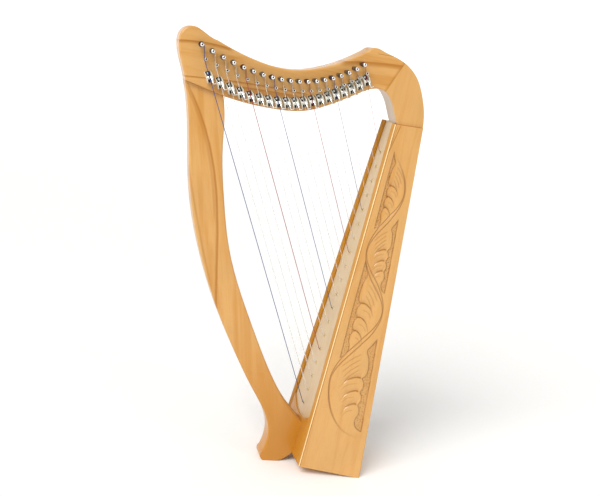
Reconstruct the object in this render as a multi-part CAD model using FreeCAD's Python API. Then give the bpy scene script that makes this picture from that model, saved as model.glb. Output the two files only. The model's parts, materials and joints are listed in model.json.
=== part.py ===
import FreeCAD, Part
import math
import os

from FreeCAD import Vector

# A small lever harp. Millimetres, +Z up.
# +X runs from the pillar to the soundbox and +Y away from the side that the strings are on.
# Outlines are measured from the tip of the pillar's foot, and ORIGIN_X then moves every piece,
# so that the origin lies on the floor under the middle of the harp's box.

ORIGIN_X = -49.5

# Strings
STRING_COUNT = 19
FIRST_HOLE = (57.2, 107.9)
HOLE_PITCH = 26.67
BASS_LEAN = 25.25
LEAN_STEP = 0.02
LEAN_CURVE = 0.0045
BASS_LENGTH = 648.5
LENGTH_STEP = 36.8
LENGTH_CURVE = 0.49
BASS_DIAMETER = 1.2
DIAMETER_STEP = 0.033
STRING_HEIGHT = 12.5
EYELET_BEND = 2.5
RED_STRINGS = (4, 11, 18)
BLUE_STRINGS = (0, 7, 14)

# Neck, shoulder and pillar
NECK_NEAR = -32.0
NECK_FAR = 8.0
PILLAR_NEAR = -24.0
PILLAR_FAR = 10.0
EDGE_ROUND = 3.0
PEG_RADIUS = 4.0
SEAM_OUTER = (-247.5, 656.0)
SEAM_INNER = (-181.5, 640.0)

# Soundbox
BOX_TOP = 638.5
FRONT_FOOT = 39.6
FRONT_SLOPE = 0.1175
REAR_FOOT = 160.5
REAR_SLOPE = 0.0102
HALF_WIDTH = 77.4
WIDTH_SLOPE = 0.0656
STRIP_PROUD = 2.7
STRIP_WIDTH = 17.0
BOARD_THICK = 3.5
SIDE_THICK = 12.0
BACK_THICK = 9.0
BASE_TOP = 84.0
TOP_BLOCK_FOOT = 604.0
RIB_THICK = 8.0
RIB_HALF = 9.0
LINING = 9.0
BASE_ARCH = 85.0
BASE_ARCH_Z = 170.0
BASE_FACE_TOP = 126.0
BOTTOM_FRONT_Z = 17.0

# Tuning pins and bridge pins
PIN_RADIUS = 3.2
PIN_CLEARANCE = 0.05
PIN_NEAR_REACH = 22.0
PIN_FAR_REACH = 18.0
PIN_SQUARE = 4.4
PIN_SQUARE_LENGTH = 12.0
PIN_BACK = 9.9
PIN_BACK_STEP = 0.09
PIN_RISE = 21.3
PIN_RISE_STEP = 1.03
PIN_RISE_CURVE = 0.033
WINDING_TURNS = 4
STRING_GAP = 0.3
GROOVE_RADIUS = 1.7
GROOVE_GAP = 0.09

# Sharping levers: how far down the string from its bridge pin, then the lever's own sizes
LEVER_REACH = 35.3
LEVER_REACH_STEP = 1.6
LEVER_FARTHEST = 29.0
LEVER_NEAREST = 12.3
AXLE_RADIUS = 1.0
AXLE_BELOW_STRING = 4.4
CHEEK_INSIDE = 4.0
CHEEK_THICK = 1.3
CHEEK_TOP = 6.5
LEVER_THICK = 1.5
HUB_RADIUS = 2.0
LOBE_RADIUS = 3.5
PLATE_THICK = 1.0
PLATE_LENGTH_HALF = 9.0
SCREW_UP = 5.8
PAD_WIDTH = 5.4

BOARD_ANGLE = math.atan(FRONT_SLOPE)
BOARD_UP = Vector(math.sin(BOARD_ANGLE), 0, math.cos(BOARD_ANGLE))
BOARD_OUT = Vector(-math.cos(BOARD_ANGLE), 0, math.sin(BOARD_ANGLE))
OUTWARD = Vector(0, -1, 0)


# ---- helpers ----

def save(name, shape):
    shape = shape.copy()
    shape.translate(Vector(-ORIGIN_X, 0, 0))
    shape.exportStep("parts/" + name + ".step")
    print(name, len(shape.Solids), "solids", round(shape.Volume), "mm3", shape.isValid())


def curve(points, y):
    spline = Part.BSplineCurve()
    spline.interpolate([Vector(x, y, z) for x, z in points])
    return spline.toShape()


def line(start, end, y):
    return Part.makeLine(Vector(start[0], y, start[1]), Vector(end[0], y, end[1]))


def arc(start, middle, end, y):
    points = [Vector(x, y, z) for x, z in (start, middle, end)]
    return Part.Arc(*points).toShape()


def slab(edges, thickness):
    return Part.Face(Part.Wire(edges)).extrude(Vector(0, thickness, 0))


def round_long_edges(shape, radius, keep_sharp):
    """Rounds the edges that lie in the two flat sides, apart from those that keep_sharp picks."""
    box = shape.BoundBox
    chosen = []
    for edge in shape.Edges:
        y_low, y_high = edge.BoundBox.YMin, edge.BoundBox.YMax
        in_a_side = abs(y_low - box.YMin) < 0.01 and abs(y_high - box.YMin) < 0.01
        in_a_side = in_a_side or (abs(y_low - box.YMax) < 0.01 and abs(y_high - box.YMax) < 0.01)
        if in_a_side and not keep_sharp(edge):
            chosen.append(edge)
    return shape.makeFillet(radius, chosen)


def hexahedron(low, high):
    """A solid with flat faces between two rings of four corners."""
    rings = [low[::-1], high]
    for i in range(4):
        j = (i + 1) % 4
        rings.append([low[i], low[j], high[j], high[i]])
    faces = [Part.Face(Part.makePolygon(ring + ring[:1])) for ring in rings]
    return Part.makeSolid(Part.makeShell(faces))


def front_x(z):
    return FRONT_FOOT + FRONT_SLOPE * z


def rear_x(z):
    return REAR_FOOT + REAR_SLOPE * z


def half_width(z):
    return HALF_WIDTH - WIDTH_SLOPE * z


def box_layer(front, rear, low_y, high_y, z0, z1):
    """A slice of the soundbox: front and rear are depths in from its faces, and low_y and
    high_y give the two sides at a height."""
    def ring(z):
        x0, x1 = front_x(z) + front, rear_x(z) - rear
        return [Vector(x0, low_y(z), z), Vector(x1, low_y(z), z),
                Vector(x1, high_y(z), z), Vector(x0, high_y(z), z)]
    return hexahedron(ring(z0), ring(z1))


def front_layer(depth, thickness, low_y, high_y, z0, z1):
    """A sheet that lies parallel to the soundboard, from depth to depth + thickness."""
    def ring(z):
        x0 = front_x(z) + depth
        x1 = x0 + thickness
        return [Vector(x0, low_y(z), z), Vector(x1, low_y(z), z),
                Vector(x1, high_y(z), z), Vector(x0, high_y(z), z)]
    return hexahedron(ring(z0), ring(z1))


def rear_layer(depth, thickness, low_y, high_y, z0, z1):
    """A sheet that lies parallel to the back."""
    def ring(z):
        x1 = rear_x(z) - depth
        x0 = x1 - thickness
        return [Vector(x0, low_y(z), z), Vector(x1, low_y(z), z),
                Vector(x1, high_y(z), z), Vector(x0, high_y(z), z)]
    return hexahedron(ring(z0), ring(z1))


def side(inset, sign):
    return lambda z: sign * (half_width(z) - inset)


def below_box():
    """Everything under the slanting bottom of the soundbox and under the floor."""
    deep = -60.0
    x0, x1 = 0.0, 220.0
    heel = rear_x(0) - 5.0
    front_z = BOTTOM_FRONT_Z * (heel - x0) / (heel - front_x(BOTTOM_FRONT_Z))
    points = [(x0, front_z), (heel, 0.0), (x1, 0.0), (x1, deep), (x0, deep)]
    edges = [line(points[i], points[(i + 1) % 5], -100.0) for i in range(5)]
    return slab(edges, 200.0)


def turned(profile, base, axis):
    """A turned piece: profile lists (radius, distance along the axis) round its section."""
    across = Vector(0, 1, 0).cross(axis)
    if across.Length < 0.1:
        across = Vector(1, 0, 0)
    across.normalize()
    points = [base + across * radius + axis * along for radius, along in profile]
    face = Part.Face(Part.makePolygon(points + points[:1]))
    return face.revolve(base, axis, 360)


def rod(radius, start, end):
    return Part.makeCylinder(radius, (end - start).Length, start, end - start)


def cord(points, radii, radius):
    """A round cord along straight runs that are joined by tangent arcs."""
    edges = []
    start = points[0]
    for i in range(1, len(points) - 1):
        corner = points[i]
        back = (points[i - 1] - corner).normalize()
        onward = (points[i + 1] - corner).normalize()
        half_turn = (math.pi - back.getAngle(onward)) / 2
        reach = radii[i - 1] * math.tan(half_turn)
        entry, leave = corner + back * reach, corner + onward * reach
        inward = (back + onward).normalize()
        sagitta = radii[i - 1] * (1 / math.cos(half_turn) - 1)
        edges.append(Part.LineSegment(start, entry).toShape())
        edges.append(Part.Arc(entry, corner + inward * sagitta, leave).toShape())
        start = leave
    edges.append(Part.LineSegment(start, points[-1]).toShape())
    path = Part.Wire(edges)
    section = Part.Wire(Part.makeCircle(radius, points[0], points[1] - points[0]))
    tube = path.makePipeShell([section], True, True)
    expected = math.pi * radius ** 2 * path.Length
    if abs(tube.Volume - expected) > 0.01 * expected:
        print("cord volume", round(tube.Volume, 1), "expected", round(expected, 1))
    return tube


# ---- where each string goes ----

class StringLine:
    """The places along one string: hole in the board, lever, bridge pin and tuning pin."""

    def __init__(self, index):
        self.index = index
        self.radius = (BASS_DIAMETER - DIAMETER_STEP * index) / 2
        board = Vector(FIRST_HOLE[0], 0, FIRST_HOLE[1]) + BOARD_UP * (HOLE_PITCH * index)
        self.hole = Vector(front_x(board.z) + STRIP_PROUD, 0, board.z)
        lean = math.radians(BASS_LEAN + LEAN_STEP * index + LEAN_CURVE * index ** 2)
        self.up = Vector(-math.sin(lean), 0, math.cos(lean))
        self.across = Vector(math.cos(lean), 0, math.sin(lean))
        length = BASS_LENGTH - LENGTH_STEP * index + LENGTH_CURVE * index ** 2
        self.bridge = self.hole + self.up * length + Vector(0, NECK_NEAR, 0)
        rise = PIN_RISE - PIN_RISE_STEP * index + PIN_RISE_CURVE * index ** 2
        back = PIN_BACK - PIN_BACK_STEP * index
        self.pin = self.bridge + Vector(-back, 0, rise)

        offset = GROOVE_RADIUS + self.radius + GROOVE_GAP
        self.over_bridge = self.bridge + OUTWARD * STRING_HEIGHT - self.across * offset
        tangent = PIN_RADIUS + self.radius + STRING_GAP
        self.at_pin = self.pin + OUTWARD * STRING_HEIGHT + Vector(tangent, 0, 0.0)
        self.lip = self.hole + BOARD_OUT * 2.4
        self.tail = self.hole - BOARD_OUT * (BOARD_THICK + RIB_THICK + 4.5)

        wanted = LEVER_REACH - LEVER_REACH_STEP * index
        self.lever_distance = max(LEVER_NEAREST, min(LEVER_FARTHEST, wanted))
        run = self.over_bridge - self.lip
        share = self.lever_distance / length
        crossing = self.over_bridge - run * share
        self.lever = Vector(crossing.x, NECK_NEAR, crossing.z)
        height_above_neck = NECK_NEAR - crossing.y
        self.axle = self.lever + OUTWARD * (height_above_neck - AXLE_BELOW_STRING)

    def at_lever(self, across, up, out):
        """A place by the lever's axle, in the string's own directions."""
        return self.axle + self.across * across + self.up * up + OUTWARD * out


STRINGS = [StringLine(i) for i in range(STRING_COUNT)]


# ---- joints between the big pieces ----

def peg_lines():
    """The ends of each hidden peg: two at every glued joint."""
    neck_middle = (NECK_NEAR + NECK_FAR) / 2
    pillar_middle = (PILLAR_NEAR + PILLAR_FAR) / 2
    lines = []
    for offset in (-8.0, 8.0):
        y = neck_middle + offset
        lines.append((Vector(82, y, 722), Vector(118, y, 704)))
        y = pillar_middle + offset
        lines.append((Vector(-205, y, 672), Vector(-217, y, 622)))
    for x in (134.0, 153.0):
        lines.append((Vector(x, neck_middle, 614), Vector(x, neck_middle, 664)))
    for z in (30.0, 48.0):
        lines.append((Vector(12, pillar_middle, z + 6), Vector(84, pillar_middle, z - 2)))
    return lines


def pegs():
    return [rod(PEG_RADIUS, start, end) for start, end in peg_lines()]


def with_peg_holes(shape):
    for peg in pegs():
        if shape.distToShape(peg)[0] < 0.01:
            shape = shape.cut(peg)
    return shape


# ---- neck, shoulder and pillar ----

def neck():
    y = NECK_NEAR
    horn = [SEAM_OUTER, (-258, 685), (-265.7, 712), (-262, 733), (-246, 741.5), (-232, 737.5),
            (-205, 726)]
    hollow = [(-205, 726), (-173, 714.5), (-138, 705), (-99, 699.3), (-64, 700.8),
              (-32, 709.3), (0, 722.8), (46, 751)]
    hip = [(46, 751), (53, 756), (61, 757), (75, 753), (92, 748.5), (113, 741)]
    under = [(88, 689), (73, 691.5), (43, 679.5), (11, 661), (-53, 635), (-87, 632.3),
             (-120, 632.8), SEAM_INNER]
    edges = [curve(horn, y), curve(hollow, y), curve(hip, y), line(hip[-1], under[0], y),
             curve(under, y), line(under[-1], horn[0], y)]
    shape = slab(edges, NECK_FAR - NECK_NEAR)

    def joint(edge):
        middle = edge.CenterOfMass
        by_shoulder = abs(middle.x - 100.5) < 3 and abs(middle.z - 714.2) < 4
        by_pillar = abs(middle.x + 214) < 3 and abs(middle.z - 646) < 4
        return by_shoulder or by_pillar

    shape = round_long_edges(shape, EDGE_ROUND, joint)
    shape = with_peg_holes(shape)
    for string in STRINGS:
        through = Vector(0, NECK_FAR - NECK_NEAR + 2, 0)
        before = Vector(0, -1, 0)
        shape = shape.cut(rod(PIN_RADIUS + PIN_CLEARANCE, string.pin + before, string.pin + through))
    shape = shape.cut(Part.makeCompound([bridge_pin(string) for string in STRINGS]))
    return shape.cut(Part.makeCompound(lever_screws()))


def shoulder():
    y = NECK_NEAR
    outer = [(113, 741), (124, 734.5), (140.5, 719), (152.5, 698.5), (164.5, 664), (168, BOX_TOP)]
    inner = [(118, BOX_TOP), (111.5, 651.5), (104.6, 667), (96, 681), (88, 689)]
    edges = [curve(outer, y), line(outer[-1], inner[0], y), curve(inner, y),
             line(inner[-1], outer[0], y)]
    shape = slab(edges, NECK_FAR - NECK_NEAR)

    def joint(edge):
        middle = edge.CenterOfMass
        by_neck = abs(middle.x - 100.5) < 3 and abs(middle.z - 714.2) < 4
        return by_neck or edge.BoundBox.ZMax < BOX_TOP + 0.1

    return with_peg_holes(round_long_edges(shape, EDGE_ROUND, joint))


def pillar():
    y = PILLAR_NEAR
    outer = [SEAM_OUTER, (-234, 605), (-222, 530), (-209, 462), (-183, 380), (-147, 297),
             (-100, 212), (-48, 131), (-20, 88), (-10, 56), (-10.5, 38), (-16, 16)]
    inner = [SEAM_INNER, (-174, 605), (-170, 560), (-154, 469), (-137, 401), (-111, 333),
             (-76, 263), (-37, 191), (11, 119), (front_x(80), 80)]
    arch_end = (front_x(19), 19)
    edges = [curve(outer, y), arc(outer[-1], (-16.2, 5), (-10, 0), y), line((-10, 0), (15, 0), y),
             curve([(15, 0), (28, 6.5), arch_end], y), line(arch_end, inner[-1], y),
             curve(inner[::-1], y), line(inner[0], outer[0], y)]
    shape = slab(edges, PILLAR_FAR - PILLAR_NEAR)

    def short(edge):
        return edge.Length < 200

    return with_peg_holes(round_long_edges(shape, EDGE_ROUND, short))


# ---- soundbox ----

def side_panel(sign):
    def low_y(z):
        return min(sign * half_width(z), sign * (half_width(z) - SIDE_THICK))

    def high_y(z):
        return max(sign * half_width(z), sign * (half_width(z) - SIDE_THICK))

    return box_layer(STRIP_PROUD, 0, low_y, high_y, -20, BOX_TOP).cut(below_box())


def soundboard():
    shape = front_layer(STRIP_PROUD, BOARD_THICK, side(SIDE_THICK, -1), side(SIDE_THICK, 1),
                        BASE_TOP - 6, BOX_TOP)
    for string in STRINGS:
        shape = shape.cut(rod(2.0, string.hole + BOARD_OUT * 2, string.hole - BOARD_OUT * 6))
    return shape


def string_rib():
    depth = STRIP_PROUD + BOARD_THICK
    shape = front_layer(depth, RIB_THICK, lambda z: -RIB_HALF, lambda z: RIB_HALF,
                        BASE_TOP, TOP_BLOCK_FOOT)
    for string in STRINGS:
        shape = shape.cut(rod(1.3, string.hole, string.hole - BOARD_OUT * 20))
    return shape


def back_panel():
    shape = rear_layer(0, BACK_THICK, side(SIDE_THICK, -1), side(SIDE_THICK, 1), -20, BOX_TOP)
    for z, radius in ((165, 36), (325, 30), (475, 24)):
        hole = Part.makeCylinder(radius, 60, Vector(rear_x(z) - 30, 0, z), Vector(1, 0, 0))
        shape = shape.cut(hole)
    return shape.cut(below_box())


def base_block():
    inside = STRIP_PROUD + BOARD_THICK
    body = box_layer(STRIP_PROUD, BACK_THICK, side(SIDE_THICK, -1), side(SIDE_THICK, 1),
                     -20, BASE_TOP - 6)
    seat = box_layer(inside, BACK_THICK, side(SIDE_THICK, -1), side(SIDE_THICK, 1),
                     BASE_TOP - 6, BASE_TOP)
    face = front_layer(0, STRIP_PROUD, side(STRIP_WIDTH, -1), side(STRIP_WIDTH, 1),
                       -20, BASE_FACE_TOP)
    arch = Part.makeCylinder(BASE_ARCH, 60, Vector(20, 0, BASE_ARCH_Z), Vector(1, 0, 0))
    shape = body.fuse(seat).fuse(face.cut(arch)).removeSplitter()
    return with_peg_holes(shape.cut(below_box()))


def top_block():
    shape = box_layer(STRIP_PROUD + BOARD_THICK, BACK_THICK, side(SIDE_THICK, -1),
                      side(SIDE_THICK, 1), TOP_BLOCK_FOOT, BOX_TOP)
    return with_peg_holes(shape)


def edge_strips():
    strips = []
    for sign in (-1, 1):
        outer, inner = side(0, sign), side(STRIP_WIDTH, sign)
        low_y, high_y = (outer, inner) if sign < 0 else (inner, outer)
        strip = front_layer(0, STRIP_PROUD, low_y, high_y, -20, BOX_TOP)
        strips.append(strip.cut(below_box()))
    return Part.makeCompound(strips)


def corner_linings():
    bars = []
    for sign in (-1, 1):
        outer, inner = side(SIDE_THICK, sign), side(SIDE_THICK + LINING, sign)
        low_y, high_y = (outer, inner) if sign < 0 else (inner, outer)
        bars.append(front_layer(STRIP_PROUD + BOARD_THICK, LINING, low_y, high_y,
                                BASE_TOP, TOP_BLOCK_FOOT))
        bars.append(rear_layer(BACK_THICK, LINING, low_y, high_y, BASE_TOP, TOP_BLOCK_FOOT))
    return Part.makeCompound(bars)


# ---- string hardware ----

def eyelet(string):
    profile = [(1.2, -3.4), (2.0, -3.4), (2.0, 0), (3.0, 0), (2.7, 0.8), (1.5, 0.8), (1.2, 0.5)]
    return turned(profile, string.hole, BOARD_OUT)


def knot(string):
    bore = string.radius + 0.05
    start = string.hole - BOARD_OUT * (BOARD_THICK + RIB_THICK)
    profile = [(bore, 0), (2.2, 0), (2.8, 1.2), (2.8, 2.6), (2.0, 3.8), (bore, 4.2)]
    return turned(profile, start, BOARD_OUT * -1)


def bridge_pin(string):
    profile = [(0, -14), (1.5, -13), (1.5, 0), (2.4, 0), (2.4, 9.6), (GROOVE_RADIUS, 11.3),
               (GROOVE_RADIUS, 13.4), (2.5, 14.4), (2.5, 15.6), (2.1, 16.0), (1.1, 16.0),
               (1.1, 14.6), (0, 14.6)]
    return turned(profile, string.bridge, OUTWARD)


def tuning_pin(string):
    depth = NECK_FAR - NECK_NEAR
    tip = PIN_NEAR_REACH
    tail = -(depth + PIN_FAR_REACH - PIN_SQUARE_LENGTH)
    profile = [(0, tail), (PIN_RADIUS, tail), (PIN_RADIUS, tip - 0.6), (PIN_RADIUS - 0.6, tip),
               (0.9, tip), (0, tip - 0.8)]
    shape = turned(profile, string.pin, OUTWARD)
    half = PIN_SQUARE / 2
    corner = string.pin + Vector(-half, -tail - 1, -half)
    square = Part.makeBox(PIN_SQUARE, PIN_SQUARE_LENGTH + 1, PIN_SQUARE, corner)
    shape = shape.fuse(square)
    eye = string.pin + OUTWARD * (STRING_HEIGHT + 4.5)
    shape = shape.cut(rod(0.8, eye + Vector(0, 0, -5), eye + Vector(0, 0, 5)))
    thick = 2 * string.radius
    outside = STRING_HEIGHT - string.radius - STRING_GAP
    inside = outside - WINDING_TURNS * thick
    winding = turned([(PIN_RADIUS, inside), (PIN_RADIUS + thick, inside),
                      (PIN_RADIUS + thick, outside), (PIN_RADIUS, outside)], string.pin, OUTWARD)
    return Part.makeCompound([shape.Solids[0], winding])


def string_cord(string):
    points = [string.tail, string.lip, string.over_bridge, string.at_pin]
    bridge_bend = GROOVE_RADIUS + string.radius + GROOVE_GAP
    return cord(points, [EYELET_BEND, bridge_bend], string.radius)


# ---- sharping levers ----

def lever_face(string, outline, across):
    """A flat face that stands along the string, from places up the string and out of the neck."""
    corners = [string.at_lever(across, up, out) for up, out in outline]
    return Part.Face(Part.makePolygon(corners + corners[:1]))


def lever_bracket(string):
    """A channel on the neck: a screwed plate and two tall cheeks beside the string."""
    floor = NECK_NEAR - string.axle.y
    half, end = CHEEK_INSIDE + CHEEK_THICK, PLATE_LENGTH_HALF
    plate = lever_face(string, [(-end, -floor), (end, -floor), (end, PLATE_THICK - floor),
                                (-end, PLATE_THICK - floor)], -half)
    shape = plate.extrude(string.across * (2 * half))
    cheek = [(-end, -floor), (end, -floor), (end, 3 - floor), (4.5, CHEEK_TOP), (-4, CHEEK_TOP),
             (-end, 2)]
    for start in (-half, CHEEK_INSIDE):
        shape = shape.fuse(lever_face(string, cheek, start).extrude(string.across * CHEEK_THICK))
    shape = shape.removeSplitter()
    return shape.cut(lever_axle(string)).cut(lever_screw(string))


def lever_axle(string):
    reach = CHEEK_INSIDE + CHEEK_THICK
    return rod(AXLE_RADIUS, string.at_lever(-reach, 0, 0), string.at_lever(reach, 0, 0))


def lever_screw(string):
    floor = NECK_NEAR - string.axle.y
    foot = string.at_lever(0, SCREW_UP, -floor)
    profile = [(0, -9), (1.0, -8), (1.0, PLATE_THICK), (2.1, PLATE_THICK), (1.7, PLATE_THICK + 1.2),
               (0.6, PLATE_THICK + 1.4), (0, PLATE_THICK + 0.8)]
    return turned(profile, foot, OUTWARD)


def lever_screws():
    return [lever_screw(string) for string in STRINGS]


def lever_arm(string):
    """The hub and the lobe that presses the string, with a plate and a thumb pad beside it."""
    width = CHEEK_INSIDE - 0.3
    hub = rod(HUB_RADIUS, string.at_lever(-width, 0, 0), string.at_lever(width, 0, 0))
    lobe = [(0.5, 1.6), (-2.9, 1.6), (-LOBE_RADIUS + 0.2, 1.0), (-LOBE_RADIUS + 0.2, -1.0),
            (-2.9, -1.5), (0.5, -1.6)]
    shape = hub.fuse(lever_face(string, lobe, -width).extrude(string.across * (2 * width)))
    flag = [(0.5, 1.9), (-3.5, 5.6), (-10.5, 9.0), (-12.4, 8.2), (-12.4, 3.2), (-7, 0.2),
            (0.5, -1.8)]
    face = lever_face(string, flag, width - LEVER_THICK)
    shape = shape.fuse(face.extrude(string.across * LEVER_THICK))
    pad = [(-11.2, 3.2), (-11.2, 8.7), (-12.4, 8.2), (-12.4, 3.2)]
    face = lever_face(string, pad, width - LEVER_THICK)
    shape = shape.fuse(face.extrude(string.across * PAD_WIDTH)).removeSplitter()
    bore = rod(AXLE_RADIUS + PIN_CLEARANCE, string.at_lever(-9, 0, 0), string.at_lever(9, 0, 0))
    return shape.cut(bore)


# ---- write every piece ----

def main():
    os.makedirs("parts", exist_ok=True)
    save("neck", neck())
    save("shoulder", shoulder())
    save("pillar", pillar())
    save("soundboard", soundboard())
    save("string_rib", string_rib())
    save("left_side_panel", side_panel(-1))
    save("right_side_panel", side_panel(1))
    save("back_panel", back_panel())
    save("base_block", base_block())
    save("top_block", top_block())
    save("edge_strips", edge_strips())
    save("corner_linings", corner_linings())
    save("joint_pegs", Part.makeCompound(pegs()))
    save("string_eyelets", Part.makeCompound([eyelet(string) for string in STRINGS]))
    save("string_knots", Part.makeCompound([knot(string) for string in STRINGS]))
    save("bridge_pins", Part.makeCompound([bridge_pin(string) for string in STRINGS]))
    save("lever_brackets", Part.makeCompound([lever_bracket(string) for string in STRINGS]))
    save("lever_axles", Part.makeCompound([lever_axle(string) for string in STRINGS]))
    save("lever_screws", Part.makeCompound(lever_screws()))

    red = [STRINGS[i] for i in RED_STRINGS]
    blue = [STRINGS[i] for i in BLUE_STRINGS]
    clear = [string for string in STRINGS if string not in red and string not in blue]
    for name, group in (("red", red), ("blue", blue), ("clear", clear)):
        save("strings_" + name, Part.makeCompound([string_cord(string) for string in group]))

    for string in STRINGS:
        number = "%02d" % (string.index + 1)
        save("tuning_pin_" + number, tuning_pin(string))
        save("lever_" + number, lever_arm(string))


main()
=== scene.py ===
# %% [markdown]
# # A small lever harp
# The harp's plain parts come ready made, each in its own place. This script gives them their
# finishes and makes the finer pieces again in more detail: the carved sides, the pins, the
# windings and the sharping levers. Lengths are in metres, with MM for the numbers that a harp
# maker would give in millimetres. +Z is up, +X runs from the pillar to the soundbox, and the
# strings are on the -Y side of the neck.

# %% Load the frame
import json
import math

import bmesh
import bpy
import numpy as np
from mathutils import Matrix, Quaternion, Vector


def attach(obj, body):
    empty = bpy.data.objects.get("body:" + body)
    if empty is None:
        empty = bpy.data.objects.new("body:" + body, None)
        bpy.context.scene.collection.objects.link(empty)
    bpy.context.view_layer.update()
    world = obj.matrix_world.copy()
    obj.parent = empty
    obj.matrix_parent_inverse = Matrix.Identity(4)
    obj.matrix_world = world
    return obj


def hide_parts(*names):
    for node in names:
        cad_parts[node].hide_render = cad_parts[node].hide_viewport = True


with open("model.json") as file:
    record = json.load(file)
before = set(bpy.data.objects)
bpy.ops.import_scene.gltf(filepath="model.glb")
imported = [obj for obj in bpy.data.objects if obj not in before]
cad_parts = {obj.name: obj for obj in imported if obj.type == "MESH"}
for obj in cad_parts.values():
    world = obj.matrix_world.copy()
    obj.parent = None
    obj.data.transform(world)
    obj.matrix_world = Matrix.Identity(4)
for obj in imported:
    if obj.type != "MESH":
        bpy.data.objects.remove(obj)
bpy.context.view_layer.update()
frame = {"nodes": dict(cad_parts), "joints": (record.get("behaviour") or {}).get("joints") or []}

MM = 0.001
nodes = frame["nodes"]

# %% [markdown]
# ## Camera, light and floor
# The view is set first, so that every later step can be judged in it. The camera stands a little
# above the harp's middle, to the pillar's side, and is tipped by a few degrees. A broad, soft sun
# stands in for a big studio lamp, because it lights the floor as evenly far away as near by, and
# two soft boxes give the polished metal something to mirror.

# %% Camera
CAMERA_PLACE = Vector((-0.3857, -1.4825, 0.7402))
CAMERA_AIM = Vector((0.0646, 0.0641, 0.3826))
CAMERA_ROLL = math.radians(9.9)

camera_data = bpy.data.cameras.new("camera")
camera_data.lens = 54.0
camera_data.sensor_width = 36.0
camera = bpy.data.objects.new("camera", camera_data)
facing = (CAMERA_AIM - CAMERA_PLACE).to_track_quat("-Z", "Y")
camera.rotation_mode = "QUATERNION"
camera.rotation_quaternion = facing @ Quaternion((0, 0, 1), CAMERA_ROLL)
camera.location = CAMERA_PLACE
bpy.context.scene.collection.objects.link(camera)
bpy.context.scene.camera = camera
bpy.context.scene.view_settings.view_transform = "Standard"
print("camera at", tuple(round(c, 3) for c in CAMERA_PLACE))


# %% Lights
def soft_lamp(name, place, aim, power, width, height, colour):
    data = bpy.data.lights.new(name, "AREA")
    data.shape = "RECTANGLE"
    data.size, data.size_y = width, height
    data.energy = power
    data.color = colour
    lamp = bpy.data.objects.new(name, data)
    lamp.location = place
    lamp.rotation_mode = "QUATERNION"
    lamp.rotation_quaternion = (Vector(aim) - Vector(place)).to_track_quat("-Z", "Y")
    bpy.context.scene.collection.objects.link(lamp)
    return lamp


world = bpy.data.worlds.new("studio")
world.use_nodes = True
world.node_tree.nodes["Background"].inputs["Color"].default_value = (1.0, 1.0, 1.0, 1.0)
world.node_tree.nodes["Background"].inputs["Strength"].default_value = 0.50
bpy.context.scene.world = world

sun_data = bpy.data.lights.new("big_soft_lamp", "SUN")
sun_data.energy = 2.1
sun_data.angle = math.radians(30)
sun_data.color = (1.0, 0.985, 0.96)
sun = bpy.data.objects.new("big_soft_lamp", sun_data)
sun.rotation_mode = "QUATERNION"
sun.rotation_quaternion = Vector((0.62, 0.62, -0.80)).to_track_quat("-Z", "Y")
bpy.context.scene.collection.objects.link(sun)

soft_lamp("left_box", (-1.6, -0.9, 1.3), (0, 0, 0.45), 6.0, 0.5, 1.4, (1.0, 1.0, 1.0))
soft_lamp("right_box", (1.4, -1.3, 0.9), (0.1, 0, 0.4), 3.0, 0.4, 1.2, (1.0, 0.98, 0.95))
print("lights:", len(bpy.data.lights))


# %% [markdown]
# ## Helpers for materials
# Every finish is a small network of nodes. These helpers add one node, do a sum, mix two colours
# or stretch a range of numbers, so that the recipes below read like recipes. Patterns are placed
# by Object coordinates, because each part sits at the origin with its place in its own mesh, so a
# grain line keeps its real size wherever the part is.

# %% Node helpers
def add(tree, kind, inputs=None, **settings):
    made = tree.nodes.new(kind)
    for key, value in settings.items():
        setattr(made, key, value)
    for key, value in (inputs or {}).items():
        if isinstance(value, bpy.types.NodeSocket):
            tree.links.new(value, made.inputs[key])
        else:
            made.inputs[key].default_value = value
    return made


def calc(tree, operation, first, second=0.0, third=0.0, clamp=False):
    made = add(tree, "ShaderNodeMath", {0: first, 1: second, 2: third}, operation=operation)
    made.use_clamp = clamp
    return made.outputs[0]


def spread(tree, value, low, high, to_low=0.0, to_high=1.0):
    made = add(tree, "ShaderNodeMapRange", {
        "Value": value, "From Min": low, "From Max": high, "To Min": to_low, "To Max": to_high})
    return made.outputs["Result"]


def ease(tree, value, low, high):
    made = add(tree, "ShaderNodeMapRange", {"Value": value, "From Min": low, "From Max": high},
               interpolation_type="SMOOTHSTEP")
    return made.outputs["Result"]


def two_colours(tree, factor, first, second, blend="MIX"):
    made = add(tree, "ShaderNodeMix", {0: factor, 6: first, 7: second}, data_type="RGBA",
               blend_type=blend)
    return made.outputs[2]


def noise(tree, place, scale, detail=2.0, roughness=0.5, distortion=0.0):
    made = add(tree, "ShaderNodeTexNoise", {
        "Vector": place, "Scale": scale, "Detail": detail, "Roughness": roughness,
        "Distortion": distortion})
    return made.outputs["Fac"]


def new_material(name):
    material = bpy.data.materials.new(name)
    material.use_nodes = True
    tree = material.node_tree
    shader = tree.nodes["Principled BSDF"]
    place = add(tree, "ShaderNodeTexCoord").outputs["Object"]
    return material, tree, shader, place


def stretched(tree, place, turn, scale):
    """Coordinates turned so that the grain runs along their Z, then scaled."""
    turned = add(tree, "ShaderNodeMapping", {"Vector": place, "Rotation": turn})
    sized = add(tree, "ShaderNodeMapping", {"Vector": turned.outputs[0], "Scale": scale})
    return sized.outputs[0]


def give_bump(tree, shader, height, distance, strength=1.0):
    made = add(tree, "ShaderNodeBump", {
        "Height": height, "Distance": distance, "Strength": strength})
    tree.links.new(made.outputs["Normal"], shader.inputs["Normal"])
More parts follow.
